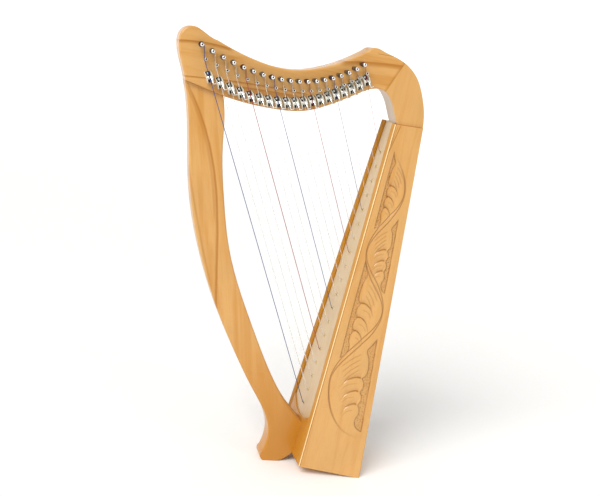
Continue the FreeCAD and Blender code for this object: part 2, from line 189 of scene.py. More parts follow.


# %% [markdown]
# ## The honey coloured wood
# The frame is a close grained hardwood under a satin varnish. Wood is long fibres, so its pattern
# is noise drawn out along the grain: broad figure from the growth rings, fine fibres, and the
# short dark flecks of the pores. The varnish is a clear coat with a soft gloss. Some boards have
# darker amber streaks. A streak is a curve in the board's own plane, and a mask fades from its
# middle to its sides. The pillar and the base get darker towards the floor, the carver's cuts
# get painted shade, and faces turned to -X can get a pale grey painted reflection.

# %% Wood recipe
def near_curve(tree, place, curve, sides, span, along="X"):
    """1 on a curve in the XZ plane that fades out on both sides. The curve is a polynomial of the
    distance along it, sides says how far it fades above and below it, and span is where it
    starts and ends."""
    parts = add(tree, "ShaderNodeSeparateXYZ", {0: place})
    other = "Z" if along == "X" else "X"
    run = parts.outputs[along]
    above, below = sides
    loose = 0.3 * min(sides)
    wander = spread(tree, noise(tree, place, 28.0, 2.0), 0.0, 1.0, -loose, loose)
    fitted = curve[-1]
    for factor in curve[-2::-1]:
        fitted = calc(tree, "MULTIPLY_ADD", run, fitted, factor)
    gap = calc(tree, "ADD", calc(tree, "SUBTRACT", parts.outputs[other], fitted), wander)
    across = calc(tree, "MULTIPLY", ease(tree, gap, above, 0.1 * above),
                  ease(tree, gap, -below, -0.1 * below))
    fade = 0.12 * (span[1] - span[0])
    start = ease(tree, run, span[0], span[0] + fade)
    end = ease(tree, run, span[1], span[1] - fade)
    return calc(tree, "MULTIPLY", across, calc(tree, "MULTIPLY", start, end))


def wood(name, pale, amber, turn=(0, 0, 0), figure=0.6, streaks=(), gloss=0.3, varnish=0.35,
         ring_scale=55.0, flecks=0.35, low_darkening=0.0, painted_reflection=0.0, shine=0.5, carved=False):
    material, tree, shader, place = new_material(name)
    long_way = stretched(tree, place, turn, (1.0, 1.0, 0.07))
    rings = noise(tree, long_way, ring_scale, 4.0, 0.55, 0.8)
    fibres = noise(tree, stretched(tree, place, turn, (1.0, 1.0, 0.03)), 900.0, 3.0, 0.6)
    pores = noise(tree, stretched(tree, place, turn, (1.0, 1.0, 0.11)), 1500.0, 1.0)
    clouds = noise(tree, place, 9.0, 2.0)

    colour = two_colours(tree, calc(tree, "MULTIPLY", ease(tree, rings, 0.42, 0.72), figure),
                         pale, amber)
    dull = [0.78 * c for c in pale[:3]] + [1.0]
    colour = two_colours(tree, calc(tree, "MULTIPLY", ease(tree, clouds, 0.45, 0.8), 0.35),
                         colour, dull)
    colour = two_colours(tree, calc(tree, "MULTIPLY", ease(tree, fibres, 0.45, 0.75), 0.22),
                         colour, amber)
    colour = two_colours(tree, calc(tree, "MULTIPLY", ease(tree, pores, 0.68, 0.8), flecks),
                         colour, PORE_BROWN)
    for curve, sides, span, along, depth in streaks:
        mask = near_curve(tree, place, curve, sides, span, along)
        colour = two_colours(tree, calc(tree, "MULTIPLY", mask, depth), colour, STREAK)
    # The pillar and the base are mixed towards a deeper amber towards the floor.
    if low_darkening:
        low = add(tree, "ShaderNodeSeparateXYZ", {0: place}).outputs["Z"]
        low_share = calc(tree, "MULTIPLY", ease(tree, low, LOW_DARKENING_TOP, LOW_DARKENING_FOOT), low_darkening)
        colour = two_colours(tree, low_share, colour, LOW_AMBER)
    # Painted reflection: faces turned towards -X are mixed towards a pale grey, which stands in
    # for the white surroundings mirrored at a grazing angle.
    if painted_reflection:
        normal = add(tree, "ShaderNodeNewGeometry").outputs["Normal"]
        side = add(tree, "ShaderNodeSeparateXYZ", {0: normal}).outputs["X"]
        reflection_share = calc(tree, "MULTIPLY", ease(tree, side, -0.35, -0.85), painted_reflection)
        colour = two_colours(tree, reflection_share, colour, REFLECTION_GREY)

    height = calc(tree, "ADD", calc(tree, "MULTIPLY", fibres, 0.6),
                  calc(tree, "MULTIPLY", ease(tree, pores, 0.68, 0.8), -0.8))
    rough = spread(tree, clouds, 0.3, 0.7, gloss - 0.04, gloss + 0.08)
    if carved:
        # Painted shade: the carver's cuts and the dots of the punched ground are mixed towards a
        # dark brown where shade would fall in them.
        stain = add(tree, "ShaderNodeAttribute", attribute_name="stain").outputs["Fac"]
        punched = add(tree, "ShaderNodeAttribute", attribute_name="punched").outputs["Fac"]
        dots = add(tree, "ShaderNodeTexVoronoi", {"Vector": place, "Scale": 430.0})
        dot = calc(tree, "MULTIPLY", ease(tree, dots.outputs["Distance"], 0.42, 0.12), punched)
        shade = calc(tree, "MULTIPLY_ADD", dot, 0.75, stain, clamp=True)
        colour = two_colours(tree, shade, colour, CUT_SHADE_BROWN)
        height = calc(tree, "SUBTRACT", height, calc(tree, "MULTIPLY", dot, 4.0))
        rough = calc(tree, "MULTIPLY_ADD", shade, 0.25, rough)
    tree.links.new(colour, shader.inputs["Base Color"])
    tree.links.new(rough, shader.inputs["Roughness"])
    shader.inputs["Coat Weight"].default_value = varnish
    shader.inputs["Coat Roughness"].default_value = 0.22
    shader.inputs["Specular IOR Level"].default_value = shine
    give_bump(tree, shader, height, 0.00012, 0.7)
    return material


STREAK = (0.42, 0.15, 0.004, 1.0)
PORE_BROWN = (0.20, 0.085, 0.025, 1.0)
# A deeper amber for the lower pillar and base.
LOW_AMBER = (0.50, 0.20, 0.008, 1.0)
# Pale grey of the painted reflection on faces turned towards -X.
REFLECTION_GREY = (0.50, 0.41, 0.31, 1.0)
# Dark brown of the painted shade in the carved cuts.
CUT_SHADE_BROWN = (0.25, 0.088, 0.001, 1.0)
LOW_DARKENING_TOP = 0.28
LOW_DARKENING_FOOT = 0.03
HONEY = (0.66, 0.355, 0.104, 1.0)
AMBER = (0.55, 0.225, 0.020, 1.0)
SPRUCE = (0.63, 0.465, 0.272, 1.0)
SPRUCE_LATE = (0.50, 0.335, 0.165, 1.0)
BARE = (0.72, 0.55, 0.36, 1.0)
BARE_LATE = (0.58, 0.40, 0.23, 1.0)
STRIP = (0.58, 0.28, 0.05, 1.0)
# Pale colours of the painted highlight on the near strip's outer corner.
PAINTED_HIGHLIGHT = (0.92, 0.70, 0.40, 1.0)
PAINTED_HIGHLIGHT_LATE = (0.80, 0.52, 0.20, 1.0)
# Darker colours of the painted shade on the far strip.
SHADED = (0.47, 0.195, 0.004, 1.0)
SHADED_LATE = (0.40, 0.15, 0.003, 1.0)
QUARTER = math.pi / 2


# %% [markdown]
# Each streak or glue line is written down as a few places on the board, in millimetres, first
# its X and then its height. The curve through them is worked out here. The streak is dark for
# the given distance above and below that curve, and depth says how dark it is.

# %% Streaks and seams
def streak(places, above, below, depth, along="X"):
    run, other = np.array(places).T * MM
    if along == "Z":
        run, other = other, run
    curve = np.polynomial.polynomial.polyfit(run, other, len(places) - 1).tolist()
    return curve, (above * MM, below * MM), (float(run[0]), float(run[-1])), along, depth


pillar_seam = streak([(-212, 659.5), (-118, 636.5)], 0.8, 0.9, 0.95)
shoulder_seam = streak([(126, 665), (174, 765)], 0.8, 6.0, 0.6, "Z")
box_seam = streak([(135, 638.5), (235, 638.5)], 0.9, 0.9, 0.8)
neck_streaks = [
    streak([(-235, 713.5), (-180, 719.5), (-125, 715)], 1.2, 6.0, 0.9),
    streak([(-235, 660.5), (-107, 667), (20, 663.5)], 0.9, 3.4, 0.9),
    streak([(-165, 660), (-10, 659.5)], 0.9, 2.8, 0.75),
    streak([(-170, 656), (50, 656)], 6.0, 40.0, 0.45),
    streak([(45, 724.5), (112, 733.5), (180, 735.5)], 1.4, 10.0, 0.85),
    streak([(110, 748.5), (146, 748.5)], 0.7, 1.3, 0.9),
    pillar_seam,
    shoulder_seam,
]
pillar_streaks = [
    streak([(-77.5, 220), (-102.5, 372), (-131, 523), (-210, 675)], 3.0, 4.5, 0.85, "Z"),
    streak([(-113, 420), (-130, 505), (-160.5, 590), (-214, 675)], 1.6, 5.0, 0.45, "Z"),
    streak([(-98, 300), (-144.5, 430), (-183.5, 560)], 3.0, 3.0, 0.45, "Z"),
    pillar_seam,
]
carved_streaks = [
    streak([(160.5, 588), (175.5, 640)], 1.2, 1.6, 1.0, "Z"),
    streak([(162.5, 600), (170, 636)], 0.9, 1.2, 0.7, "Z"),
    box_seam,
]

# %% Every wood of the harp
neck_wood = wood("neck_wood", HONEY, AMBER, (0, -QUARTER, 0), figure=0.8, streaks=neck_streaks)
pillar_wood = wood("pillar_wood", HONEY, AMBER, (0, 0.22, 0), figure=0.7,
                   streaks=pillar_streaks, low_darkening=0.9)
shoulder_wood = wood("shoulder_wood", HONEY, AMBER, (0, -0.06, 0), figure=0.4,
                     streaks=[shoulder_seam, box_seam], painted_reflection=0.85)
upright_wood = wood("upright_wood", HONEY, AMBER, (0, -0.06, 0), figure=0.5)
carved_wood = wood("carved_wood", HONEY, AMBER, (0, -0.06, 0), figure=0.45,
                   streaks=carved_streaks, varnish=0.5, carved=True)
base_wood = wood("base_wood", HONEY, AMBER, (0, -0.06, 0), figure=0.5, low_darkening=0.9)
near_strip_wood = wood("near_strip_wood", STRIP, AMBER, (0, -0.12, 0),
                       figure=0.4, varnish=0.0, gloss=0.5, shine=0.2)
# Painted highlight for the near strip's outer corner.
edge_painted_highlight = wood("edge_painted_highlight", PAINTED_HIGHLIGHT, PAINTED_HIGHLIGHT_LATE, (0, -0.12, 0), figure=0.4)
# Painted shade: a darker copy of the strip wood for the far strip.
far_strip_painted_shade = wood("far_strip_painted_shade", SHADED, SHADED_LATE, (0, -0.12, 0), figure=0.4,
                      varnish=0.0, gloss=0.5, shine=0.15)
board_wood = wood("board_wood", SPRUCE, SPRUCE_LATE, (0, -0.12, 0), figure=0.55, gloss=0.42,
                  varnish=0.15, ring_scale=420.0, flecks=0.05)
bare_wood = wood("bare_wood", BARE, BARE_LATE, figure=0.5, gloss=0.6, varnish=0.0, flecks=0.15)
print("woods:", len(bpy.data.materials))


# %% [markdown]
# ## Metal and nylon
# The pins and levers are nickel plated. Polished plating isn't a perfect mirror: it has a fine
# brushed haze and small scratches, so both its roughness and its bump come from stretched noise.
# Nylon string is smooth and slightly waxy. The plain strings are clear, and the dyed ones tell
# the player where C and F are. Wound on a pin, the turns shade each other, so the windings get
# darker copies of the nylon colours as painted shade.

# %% Metal and nylon recipes
def metal(name, colour, gloss, haze, scratch_way=(1.0, 1.0, 0.05), plated=1.0):
    material, tree, shader, place = new_material(name)
    scratches = noise(tree, stretched(tree, place, (0.4, 0.2, 0.3), scratch_way), 2600.0, 3.0)
    smudges = noise(tree, place, 180.0, 2.0)
    dim = [0.7 * c for c in colour[:3]] + [1.0]
    tint = two_colours(tree, ease(tree, smudges, 0.45, 0.8), colour, dim)
    tree.links.new(tint, shader.inputs["Base Color"])
    rough = calc(tree, "ADD", spread(tree, smudges, 0.3, 0.7, gloss, gloss + haze),
                 calc(tree, "MULTIPLY", scratches, 0.06))
    tree.links.new(rough, shader.inputs["Roughness"])
    shader.inputs["Metallic"].default_value = plated
    give_bump(tree, shader, scratches, 0.00003, 0.6)
    return material


def nylon(name, colour, see_through):
    material, tree, shader, place = new_material(name)
    drawn = noise(tree, stretched(tree, place, (0, 0.45, 0), (1.0, 1.0, 0.04)), 1800.0, 2.0)
    paler = [min(1.0, 1.25 * c + 0.02) for c in colour[:3]] + [1.0]
    tree.links.new(two_colours(tree, drawn, colour, paler), shader.inputs["Base Color"])
    tree.links.new(spread(tree, drawn, 0.3, 0.7, 0.16, 0.28), shader.inputs["Roughness"])
    shader.inputs["IOR"].default_value = 1.53
    shader.inputs["Transmission Weight"].default_value = see_through
    give_bump(tree, shader, drawn, 0.00002, 0.5)
    return material


nickel = metal("nickel", (0.80, 0.79, 0.75, 1.0), 0.16, 0.12)
bracket_metal = metal("bracket_metal", (0.80, 0.79, 0.69, 1.0), 0.30, 0.14, plated=0.35)
dark_metal = metal("dark_metal", (0.045, 0.042, 0.038, 1.0), 0.36, 0.15)
pin_steel = metal("pin_steel", (0.16, 0.15, 0.14, 1.0), 0.26, 0.12)
polished_end = metal("polished_end", (0.93, 0.93, 0.92, 1.0), 0.08, 0.06)
brass = metal("brass", (0.62, 0.47, 0.22, 1.0), 0.3, 0.15)
# Darker nylon for the windings, as painted shade.
wound_red_painted_shade = nylon("wound_red_painted_shade", (0.09, 0.008, 0.010, 1.0), 0.0)
wound_blue_painted_shade = nylon("wound_blue_painted_shade", (0.006, 0.012, 0.055, 1.0), 0.0)
wound_clear_painted_shade = nylon("wound_clear_painted_shade", (0.16, 0.125, 0.085, 1.0), 0.1)
red_nylon = nylon("red_nylon", (0.27, 0.013, 0.022, 1.0), 0.05)
blue_nylon = nylon("blue_nylon", (0.009, 0.042, 0.19, 1.0), 0.05)
clear_nylon = nylon("clear_nylon", (0.93, 0.93, 0.90, 1.0), 0.65)
print("materials:", len(bpy.data.materials))


# %% [markdown]
# ## Floor
# A plain pale sheet that curves up into a low wall far away, so that no far edge is ever seen. It
# is turned like a shallow bowl: a profile spun once round the harp.

# %% Floor
FLOOR_RADIUS = 5.5
WALL_RADIUS = 7.5
WALL_TOP = 3.2
floor_bm = bmesh.new()
outline = [(0.0, 0.0), (FLOOR_RADIUS, 0.0)]
bend = WALL_RADIUS - FLOOR_RADIUS
for step in range(1, 9):
    turned = step / 8 * math.pi / 2
    outline.append((FLOOR_RADIUS + bend * math.sin(turned), bend * (1 - math.cos(turned))))
outline.append((WALL_RADIUS, WALL_TOP))
path = [floor_bm.verts.new((x, 0, z)) for x, z in outline]
edges = [floor_bm.edges.new(pair) for pair in zip(path, path[1:])]
bmesh.ops.spin(floor_bm, geom=path + edges, cent=(0, 0, 0), axis=(0, 0, 1), angle=2 * math.pi,
               steps=96, use_merge=True)
bmesh.ops.remove_doubles(floor_bm, verts=floor_bm.verts[:], dist=MM)
bmesh.ops.recalc_face_normals(floor_bm, faces=floor_bm.faces[:])
floor_mesh = bpy.data.meshes.new("floor")
floor_bm.to_mesh(floor_mesh)
floor_bm.free()
floor_mesh.flip_normals()
floor_mesh.shade_smooth()
floor = bpy.data.objects.new("floor", floor_mesh)
bpy.context.scene.collection.objects.link(floor)
paper, paper_tree, paper_shader, paper_place = new_material("pale_paper")
tooth = noise(paper_tree, paper_place, 60.0, 3.0)
paper_colour = two_colours(paper_tree, tooth, (0.97, 0.97, 0.965, 1.0), (0.99, 0.99, 0.985, 1.0))
paper_tree.links.new(paper_colour, paper_shader.inputs["Base Color"])
paper_shader.inputs["Roughness"].default_value = 0.9
paper_shader.inputs["Specular IOR Level"].default_value = 0.1
floor_mesh.materials.append(paper)
print("floor", 2 * WALL_RADIUS, "m wide")


# %% [markdown]
# ## Ready made parts that keep their shape
# The neck, the shoulder and the pillar are already rounded boards, so they only need their
# finish. So do the soundboard, the inner bars and the small turned things. Assigning a material
# to the part's slot leaves its mesh alone.

# %% Finish the ready made parts
def finish(names, material):
    for name in names:
        mesh = nodes[name].data
        mesh.materials.clear()
        mesh.materials.append(material)


finish(["neck"], neck_wood)
finish(["pillar"], pillar_wood)
finish(["shoulder"], shoulder_wood)
finish(["soundboard"], board_wood)
finish(["string_rib", "top_block", "corner_linings", "joint_pegs"], bare_wood)
finish(["string_eyelets"], brass)
finish(["lever_axles"], dark_metal)
finish(["string_knots", "strings_clear"], clear_nylon)
finish(["strings_red"], red_nylon)
finish(["strings_blue"], blue_nylon)
print("finished parts in place")


# %% [markdown]
# ## Softened edges
# A sawn board never has a knife edge, because it is sanded. The flat sided parts are copied,
# their loose triangles are joined, the flat faces are cleaned up, and a narrow bevel goes on
# every sharp edge. The bevel catches the light along the edge, which is what makes a board look
# real. The same does for the stamped metal of the levers, with a much finer bevel. The near edge
# strip's outer corner bevel gets a pale painted highlight, and the far strip gets painted shade.

# %% Softening helper
def new_piece(name, bm, body, materials, replaced=(), sharp_angle=38.0):
    mesh = bpy.data.meshes.new(name)
    bm.normal_update()
    bm.to_mesh(mesh)
    bm.free()
    mesh.shade_smooth()
    mesh.set_sharp_from_angle(angle=math.radians(sharp_angle))
    for material in materials:
        mesh.materials.append(material)
    piece = bpy.data.objects.new(name, mesh)
    bpy.context.scene.collection.objects.link(piece)
    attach(piece, body)
    if replaced:
        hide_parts(*replaced)
    return piece


def softened(node, width, segments=2, corner=25.0):
    """A bmesh copy of a part with its sharp edges bevelled."""
    bm = bmesh.new()
    bm.from_mesh(nodes[node].data)
    bmesh.ops.remove_doubles(bm, verts=bm.verts[:], dist=0.002 * MM)
    bmesh.ops.dissolve_limit(bm, angle_limit=math.radians(0.6), verts=bm.verts[:],
                             edges=bm.edges[:])
    sharp = [e for e in bm.edges
             if len(e.link_faces) == 2 and e.calc_face_angle() > math.radians(corner)]
    bmesh.ops.bevel(bm, geom=sharp, offset=width, offset_type="OFFSET", segments=segments,
                    profile=0.5, affect="EDGES", clamp_overlap=True, material=-1)
    return bm


HIGHLIGHT_FACING = -0.25
softened_boards = [
    ("edge_strips", "rounded_edge_strips", 1.2 * MM, 3,
     [near_strip_wood, far_strip_painted_shade, edge_painted_highlight]),
    ("base_block", "rounded_base_block", 0.7 * MM, 2, [base_wood]),
    ("back_panel", "rounded_back_panel", 1.2 * MM, 3, [upright_wood]),
]
for node, name, width, segments, materials in softened_boards:
    bm = softened(node, width, segments)
    if len(materials) > 1:
        for face in bm.faces:
            # Painted shade: faces on the far side (+Y) get the darker strip wood.
            face.material_index = 1 if face.calc_center_median().y > 0 else 0
            # Painted highlight: the bevel faces on the near strip's outer corner get a pale wood.
            facing_out = face.normal.x < HIGHLIGHT_FACING and face.normal.y < HIGHLIGHT_FACING
            if facing_out and face.material_index == 0:
                face.material_index = 2
    piece = new_piece(name, bm, "frame", materials, [node])
    print(name, len(piece.data.polygons), "faces")


# %% [markdown]
# ## Carved sides
# Each side of the soundbox is a flat board with a winding stem cut into it, and a half leaf in
# every bend of the stem. A leaf has a long sunk edge with a punched ground, three curled lobes
# that lie over each other like feathers, and fine veins. This is relief carving, so the board is
# made as a fine grid, and each grid point is sunk by as much as the carver's tool took away. The
# whole design follows from where four leaves start and end and how far they bulge.

# %% Where the side is, in millimetres
PANEL_TOP = 638.5
PANEL_THICK = 12.0
HEEL_SHARE = 0.957
BOTTOM_FRONT = 17.0
GRID_ACROSS = 128
GRID_UP = 610


def front_edge(z):
    return 91.8 + 0.1175 * z


def rear_edge(z):
    return 210.0 + 0.0102 * z


def half_width(z):
    return 77.4 - 0.0656 * z


# %% The design: four leaves as (tip, foot, bulge), measured along the board and up
LEAVES = [
    ((171.0, 592.0), (158.0, 457.0), 38.0),
    ((199.5, 478.0), (197.5, 345.0), -47.0),
    ((152.0, 400.0), (134.5, 223.0), 56.0),
    ((198.5, 262.0), (197.5, 88.0), -75.0),
]
CUSPS = (0.43, 0.575, 0.715)
LAST_CUSP = 0.86
LOBE_REACH = (1.0, 0.9, 0.76)


def leaf_place(leaf, points):
    """Turns (share of the way from tip to foot, share of the bulge) into places on the board."""
    tip, foot, bulge = np.array(leaf[0]), np.array(leaf[1]), leaf[2]
    down = foot - tip
    out = np.array((-down[1], down[0])) / np.hypot(*down)
    if out[0] < 0:
        out = -out
    points = np.array(points, float)
    return tip + points[:, :1] * down + points[:, 1:] * bulge * out


def smooth_path(points, steps=10):
    """A smooth line through the points, each span a cubic with the neighbours' slope."""
    points = np.array(points, float)
    ends = np.vstack([2 * points[0] - points[1], points, 2 * points[-1] - points[-2]])
    share = (np.arange(steps) / steps)[:, None]
    spans = []
    for i in range(1, len(ends) - 2):
        before, start, end, after = ends[i - 1:i + 3]
        out_slope, in_slope = (end - before) / 2, (after - start) / 2
        spans.append(start * (2 * share ** 3 - 3 * share ** 2 + 1)
                     + out_slope * (share ** 3 - 2 * share ** 2 + share)
                     + end * (3 * share ** 2 - 2 * share ** 3)
                     + in_slope * (share ** 3 - share ** 2))
    return np.vstack(spans + [points[-1:]])


def stem_path():
    """The stem winds round the fullest place of every leaf in turn, in easy half waves."""
    full = [leaf_place(leaf, [(0.48, 1.0)])[0] for leaf in LEAVES]
    swing = np.linspace(0, 1, 25)[:, None]
    first = np.array(LEAVES[0][0])
    runs = [np.hstack([first[0] + (full[0][0] - first[0]) * np.sin(swing * QUARTER),
                       first[1] + (full[0][1] - first[1]) * swing])]
    for above, below in zip(full, full[1:]):
        share = (1 - np.cos(swing * math.pi)) / 2
        runs.append(np.hstack([above[0] + (below[0] - above[0]) * share,
                               above[1] + (below[1] - above[1]) * swing])[1:])
    last = np.array(LEAVES[-1][1]) + np.array((-2.0, -11.0))
    runs.append(np.hstack([full[-1][0] + (last[0] - full[-1][0]) * (1 - np.cos(swing * QUARTER)),
                           full[-1][1] + (last[1] - full[-1][1]) * np.sin(swing * QUARTER)])[1:])
    return np.vstack(runs), [point[1] for point in full]


# %% The carver's cuts
class Board:
    """The grid points of a side, how deep each is sunk, how much painted shade darkens it and how
    punched it is.
    """

    def __init__(self, ground):
        self.ground = ground
        self.depth = np.zeros(len(ground))
        self.stain = np.zeros(len(ground))
        self.punched = np.zeros(len(ground))

    def measure(self, path, reach):
        """The points near a path: which, how far, on which side and how far along it."""
        low, high = path.min(0) - reach, path.max(0) + reach
        which = np.where(np.all((self.ground >= low) & (self.ground <= high), axis=1))[0]
        spots = self.ground[which]
        best = np.full(len(which), float(reach))
        side = np.zeros(len(which))
        along = np.zeros(len(which))
        for i in range(len(path) - 1):
            step = path[i + 1] - path[i]
            share = np.clip(((spots - path[i]) @ step) / (step @ step), 0, 1)
            gap = spots - path[i] - share[:, None] * step
            distance = np.hypot(gap[:, 0], gap[:, 1])
            nearer = distance < best
            best[nearer] = distance[nearer]
            along[nearer] = (i + share[nearer]) / (len(path) - 1)
            side[nearer] = np.sign(step[0] * gap[nearer, 1] - step[1] * gap[nearer, 0])
        hit = best < reach
        return which[hit], best[hit], side[hit], along[hit]

    def groove(self, path, half, depth, stain=0.8):
        """A V cut that runs out gently at both ends."""
        which, distance, _, along = self.measure(path, 1.6 * half)
        fade = np.clip(np.minimum(along, 1 - along) * 7, 0, 1)
        shape = np.exp(-(distance / (0.52 * half)) ** 2) * fade
        self.depth[which] += depth * shape
        # Painted shade along the cut, strongest where it is deepest.
        self.stain[which] = np.maximum(self.stain[which], stain * shape)

    def feather(self, path, run, depth, lower):
        """A stop cut with the wood pared away to it on its lower side, so that what is above
        the cut seems to lie over what is below."""
        which, distance, side, along = self.measure(path, 2.6 * run)
        fade = np.clip(along * 9, 0, 1) * np.clip((1 - along) * 2.2, 0, 1)
        below = side == lower
        shape = np.where(below, np.exp(-(distance / run) ** 1.3), np.exp(-(distance / 0.7) ** 2))
        self.depth[which] += depth * shape * fade
        # Painted shade along the stop cut.
        line = np.exp(-(distance / 0.85) ** 2) * fade
        self.stain[which] = np.maximum(self.stain[which], 0.9 * line)

    def inside(self, outline):
        x, z = self.ground[:, 0], self.ground[:, 1]
        within = np.zeros(len(x), bool)
        for (x0, z0), (x1, z1) in zip(outline, np.roll(outline, -1, axis=0)):
            if z0 == z1:
                continue
            crosses = (z0 > z) != (z1 > z)
            within ^= crosses & (x < (x1 - x0) * (z - z0) / (z1 - z0) + x0)
        return within

    def sink(self, outline, depth, wall):
        """A flat ground sunk inside a closed outline, with punch marks all over it."""
        closed = np.vstack([outline, outline[:1]])
        within = self.inside(outline)
        which, distance, _, _ = self.measure(closed, 6.0)
        from_edge = np.full(len(self.ground), 6.0)
        from_edge[which] = distance
        floor_share = np.clip(from_edge / wall, 0, 1) * within
        self.depth = self.depth * (1 - within) + depth * floor_share
        self.punched = np.maximum(self.punched, floor_share)
        # Painted shade: darker along the inside of the wall, a little darker over the whole sunk
        # ground, and a thin dark line just outside the edge.
        rim = np.exp(-(from_edge / 1.3) ** 2)
        self.stain = np.maximum(self.stain, 0.85 * rim * within)
        self.stain = np.maximum(self.stain, 0.10 * floor_share)
        rounding = np.exp(-(from_edge / 2.4) ** 2) * (1 - within)
        self.depth += 0.55 * rounding
        self.stain = np.maximum(self.stain, 0.35 * np.exp(-(from_edge / 0.8) ** 2) * (1 - within))


def carve_leaf(board, leaf):
    lower = 1.0 if leaf[2] > 0 else -1.0
    size = abs(leaf[2]) / 56.0
    for start, reach in zip(CUSPS, LOBE_REACH):
        curl = [(start, 0.20), (start - 0.005, 0.20 + 0.16 * reach),
                (start + 0.035, 0.20 + 0.38 * reach), (start + 0.125, 0.20 + 0.56 * reach)]
        board.feather(smooth_path(leaf_place(leaf, curl)), 7.0 * size ** 0.5, 3.2, lower)
        echo = [(start + 0.055, 0.30), (start + 0.075, 0.22 + 0.30 * reach),
                (start + 0.130, 0.22 + 0.46 * reach)]
        board.groove(smooth_path(leaf_place(leaf, echo)), 1.5, 0.45, 0.35)
    for i in range(4):
        vein = [(0.17 + 0.055 * i, 0.30), (0.235 + 0.06 * i, 0.55 - 0.01 * i),
                (0.33 + 0.055 * i, 0.80 - 0.05 * i)]
        board.groove(smooth_path(leaf_place(leaf, vein)), 1.7, 0.6, 0.4)
    scallops = [(0.0, 0.0), (0.07, 0.10), (0.135, 0.20), (0.22, 0.13), (0.33, 0.10), (0.395, 0.13)]
    scallops += [(CUSPS[0], 0.21)]
    for start, end in zip(CUSPS, CUSPS[1:] + (LAST_CUSP,)):
        scallops += [(start + 0.3 * (end - start), 0.155), (start + 0.7 * (end - start), 0.15),
                     (end, 0.205)]
    scallops += [(0.91, 0.215), (0.965, 0.15), (1.0, 0.03)]
    inner = smooth_path(leaf_place(leaf, scallops), 6)
    outer = smooth_path(leaf_place(leaf, [(1.0, 0.0), (0.5, -0.01), (0.02, 0.0)]), 12)
    board.sink(np.vstack([inner, outer]), 2.1, 1.3)


def carve_design(ground):
    board = Board(ground)
    stem, turns = stem_path()
    slope = np.gradient(stem, axis=0)
    normal = np.stack([-slope[:, 1], slope[:, 0]], 1) / np.hypot(slope[:, 0], slope[:, 1])[:, None]
    nearest_turn = np.min([np.abs(stem[:, 1] - z) for z in turns], axis=0)
    gap = 0.5 + 2.9 * np.clip(nearest_turn / 45.0, 0, 1) ** 1.5
    gap[stem[:, 1] > turns[0]] = 0.5
    gap[stem[:, 1] < turns[-1]] = 0.5
    for sign in (-1, 1):
        board.groove(stem + sign * normal * gap[:, None], 1.9, 1.0, 0.75)
    for leaf in LEAVES:
        carve_leaf(board, leaf)
    return board


# %% [markdown]
# The board itself is one grid, fitted between the front and rear edges and the sloping bottom.
# The cuts are worked out once, on the flat grid. Then the grid's rim is extruded inwards for the
# board's thickness and closed at the back. The far side is the same board the other way round.

# %% Carved side boards
def side_bmesh():
    bm = bmesh.new()
    bmesh.ops.create_grid(bm, x_segments=GRID_ACROSS, y_segments=GRID_UP, size=0.5)
    return bm


def fit_to_board(share_across, share_up):
    bottom = BOTTOM_FRONT * np.clip(1 - share_across / HEEL_SHARE, 0, 1)
    z = bottom + (PANEL_TOP - bottom) * share_up
    x = front_edge(z) + (rear_edge(z) - front_edge(z)) * share_across
    return x, z


sample = side_bmesh()
shares = np.array([(v.co.x + 0.5, v.co.y + 0.5) for v in sample.verts])
sample.free()
board_x, board_z = fit_to_board(shares[:, 0], shares[:, 1])
carving = carve_design(np.stack([board_x, board_z], 1))
EDGE_ROUND = 2.2
to_edge = np.minimum(rear_edge(board_z) - board_x, 99)
inset = np.clip(EDGE_ROUND - to_edge, 0, EDGE_ROUND)
edge_drop = EDGE_ROUND - np.sqrt(EDGE_ROUND ** 2 - inset ** 2)
chatter = np.random.default_rng(7).normal(0, 0.09, len(board_x)) * carving.punched
sunk = carving.depth + edge_drop + chatter
print("deepest cut", round(float(carving.depth.max()), 2), "mm")


def carved_side(name, node, sign):
    bm = side_bmesh()
    bm.verts.ensure_lookup_table()
    count = len(bm.verts)
    for v, x, z, d in zip(bm.verts, board_x, board_z, sunk):
        v.co = (x * MM, sign * (half_width(z) - d) * MM, z * MM)
    rim = [e for e in bm.edges if e.is_boundary]
    made = bmesh.ops.extrude_edge_only(bm, edges=rim)["geom"]
    inner = [v for v in made if isinstance(v, bmesh.types.BMVert)]
    for v in inner:
        v.co.y = sign * (half_width(v.co.z / MM) - PANEL_THICK) * MM
    bmesh.ops.holes_fill(bm, edges=[e for e in bm.edges if e.is_boundary])
    bmesh.ops.recalc_face_normals(bm, faces=bm.faces[:])
    piece = new_piece(name, bm, "frame", [carved_wood], [node], 60.0)
    # The painted shade of the cuts and the punched ground go to the mesh as point attributes.
    for label, values in (("stain", carving.stain), ("punched", carving.punched)):
        layer = piece.data.attributes.new(label, "FLOAT", "POINT")
        padded = np.zeros(len(piece.data.vertices), np.float32)
        padded[:count] = values
        layer.data.foreach_set("value", padded)
    print(name, len(piece.data.polygons), "faces")


carved_side("carved_side_left", "left_side_panel", -1)
carved_side("carved_side_right", "right_side_panel", 1)


# %% [markdown]
# ## Tuning pins and windings
# A tuning pin is a steel rod with a polished, rounded end towards the player and a square end at
# the back for the key. It is turned: a profile is spun once round the pin's axis. Each pin's axis
# comes from its joint. The string is wound round it in a helix, which is a small ring spun
# through several turns while it moves along the axis.

# %% Turning helpers
def spun(bm, profile, centre, axis, steps=28):
    """Spins a profile of (radius, along the axis) and returns the vertices of its start and end
    profiles.
    """
    axis = Vector(axis).normalized()
    side = axis.orthogonal().normalized()
    start = [bm.verts.new(Vector(centre) + side * r + axis * a) for r, a in profile]
    edges = [bm.edges.new(pair) for pair in zip(start, start[1:])]
    made = bmesh.ops.spin(bm, geom=start + edges, cent=centre, axis=axis, angle=2 * math.pi,
                          steps=steps, use_merge=True)
    touched = set(start)
    for item in made["geom_last"]:
        if isinstance(item, bmesh.types.BMVert):
            touched.add(item)
    return touched


